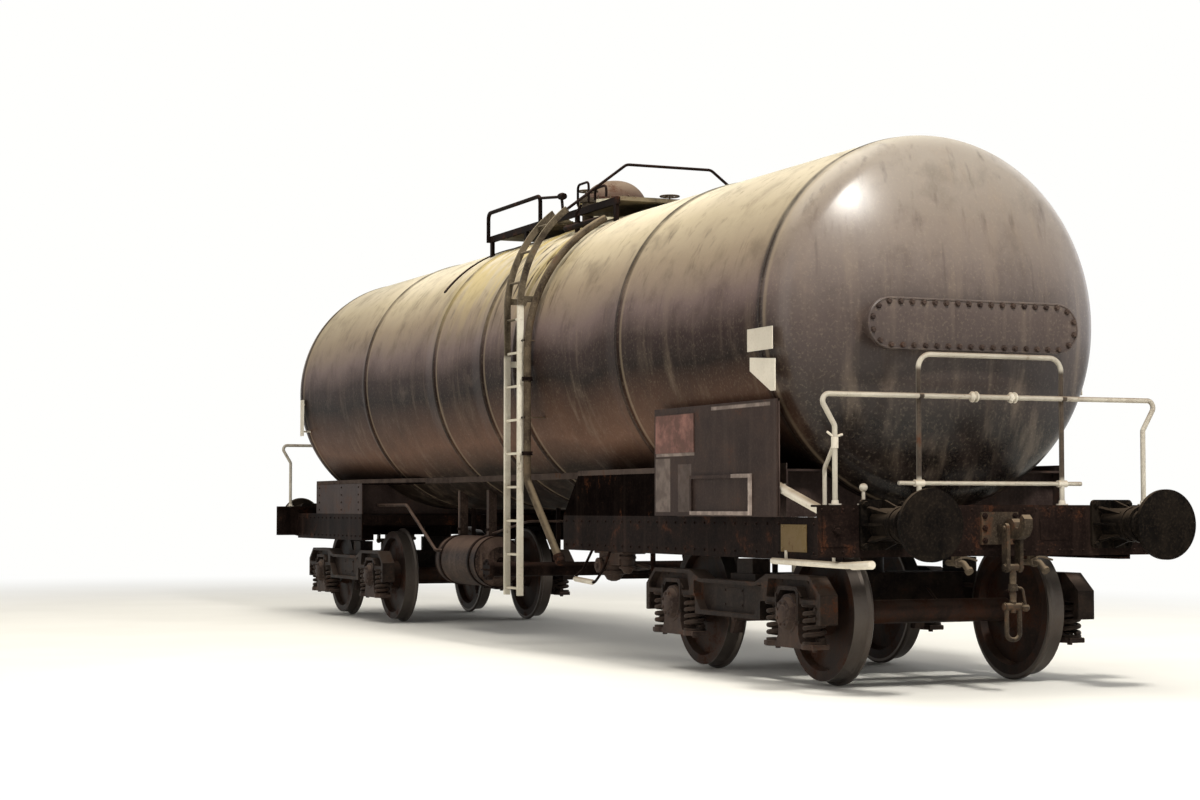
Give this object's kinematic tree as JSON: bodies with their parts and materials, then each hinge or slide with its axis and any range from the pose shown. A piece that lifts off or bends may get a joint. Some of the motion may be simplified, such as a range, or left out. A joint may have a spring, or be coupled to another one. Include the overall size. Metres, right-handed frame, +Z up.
{
  "type": "railway tank car",
  "caption": "Four-axle railway tank wagon: a round tank on two stub frames and two turning bogies, with ladders, top platform, manhole lid, buffers and screw couplings.",
  "frame": {"origin": "middle of the wagon at the lowest point of the wheel flanges", "axes": "+X along the wagon towards end A, +Y across it, +Z up; the rail top is at Z = 0.028"},
  "size_m": [14.04, 2.792, 4.1489],
  "materials": {
    "tank_paint": "dusty semi-gloss",
    "frame_paint": "dusty satin",
    "bogie_paint": "dusty, brake-dust brown",
    "axlebox_iron": "rough, dusty",
    "spring_steel": "rough, dusty",
    "wheel_steel": "rusty with bright treads",
    "ladder_paint": "worn white",
    "deck_steel": "dusty grating",
    "valve_steel": "dull",
    "lid_paint": "faded maroon",
    "buffer_steel": "dusty, greasy faces",
    "hook_steel": "oily",
    "panel_paint": "dusty"
  },
  "bodies": {
    "wagon": {"tank": "tank_paint", "manhole_neck": "tank_paint", "platform_rails": "frame_paint", "platform_deck": "deck_steel", "top_valves": "valve_steel", "top_strap": "frame_paint", "ladder_front": "ladder_paint", "ladder_back": "ladder_paint", "top_arch": "frame_paint", "air_reservoir": "frame_paint", "outlet_pipe": "frame_paint", "brake_cylinder_rods": "frame_paint", "drain_pipe": "frame_paint", "long_sill_a": "frame_paint", "long_sill_b": "frame_paint", "short_sill_a": "frame_paint", "short_sill_b": "frame_paint", "cross_members_a": "frame_paint", "cross_members_b": "frame_paint", "headstock_a": "frame_paint", "headstock_b": "frame_paint", "saddle_a": "frame_paint", "saddle_b": "frame_paint", "saddle_wings_a": "frame_paint", "saddle_wings_b": "frame_paint", "buffers_a": "buffer_steel", "buffers_b": "buffer_steel", "draw_hook_a": "hook_steel", "draw_hook_b": "hook_steel", "brake_cocks_a": "valve_steel", "brake_cocks_b": "valve_steel", "end_rails_a": "ladder_paint", "end_rails_b": "ladder_paint", "end_cover_a": "tank_paint", "end_cover_b": "tank_paint", "side_panel_a": "panel_paint", "side_panel_b": "panel_paint", "label_plates_a": "ladder_paint", "label_plates_b": "ladder_paint", "corner_tubes_a": "ladder_paint", "corner_tubes_b": "ladder_paint"},
    "manhole_lid": {"manhole_lid": "lid_paint"},
    "coupling_a": {"screw_coupling_a": "hook_steel"},
    "coupling_b": {"screw_coupling_b": "hook_steel"},
    "bogie_a": {"bogie_frame_a": "bogie_paint", "bogie_transom_a": "bogie_paint", "axleboxes_a": "axlebox_iron", "bogie_springs_a": "spring_steel", "bogie_brakes_a": "axlebox_iron"},
    "bogie_b": {"bogie_frame_b": "bogie_paint", "bogie_transom_b": "bogie_paint", "axleboxes_b": "axlebox_iron", "bogie_springs_b": "spring_steel", "bogie_brakes_b": "axlebox_iron"},
    "wheelset_1": {"wheelset_1": "wheel_steel"},
    "wheelset_2": {"wheelset_2": "wheel_steel"},
    "wheelset_3": {"wheelset_3": "wheel_steel"},
    "wheelset_4": {"wheelset_4": "wheel_steel"}
  },
  "joints": [
    {"name": "manhole_lid_hinge", "type": "hinge", "parent": "wagon", "child": "manhole_lid", "pos_m": [-0.155, 0, 3.973], "axis": [0, -1, 0], "range_deg": [0, 110]},
    {"name": "coupling_swing_a", "type": "hinge", "parent": "wagon", "child": "coupling_a", "pos_m": [6.56, 0, 1.058], "axis": [0, -1, 0], "range_deg": [-25, 80]},
    {"name": "coupling_swing_b", "type": "hinge", "parent": "wagon", "child": "coupling_b", "pos_m": [-6.56, 0, 1.058], "axis": [0, 1, 0], "range_deg": [-25, 80]},
    {"name": "bogie_turn_a", "type": "hinge", "parent": "wagon", "child": "bogie_a", "pos_m": [4.6, 0, 0.878], "axis": [0, 0, 1], "range_deg": [-6, 6]},
    {"name": "bogie_turn_b", "type": "hinge", "parent": "wagon", "child": "bogie_b", "pos_m": [-4.6, 0, 0.878], "axis": [0, 0, 1], "range_deg": [-6, 6]},
    {"name": "wheelset_spin_1", "type": "hinge", "parent": "bogie_a", "child": "wheelset_1", "pos_m": [5.5, 0, 0.488], "axis": [0, 1, 0], "continuous": true},
    {"name": "wheelset_spin_2", "type": "hinge", "parent": "bogie_a", "child": "wheelset_2", "pos_m": [3.7, 0, 0.488], "axis": [0, 1, 0], "continuous": true},
    {"name": "wheelset_spin_3", "type": "hinge", "parent": "bogie_b", "child": "wheelset_3", "pos_m": [-3.7, 0, 0.488], "axis": [0, 1, 0], "continuous": true},
    {"name": "wheelset_spin_4", "type": "hinge", "parent": "bogie_b", "child": "wheelset_4", "pos_m": [-5.5, 0, 0.488], "axis": [0, 1, 0], "continuous": true}
  ]
}
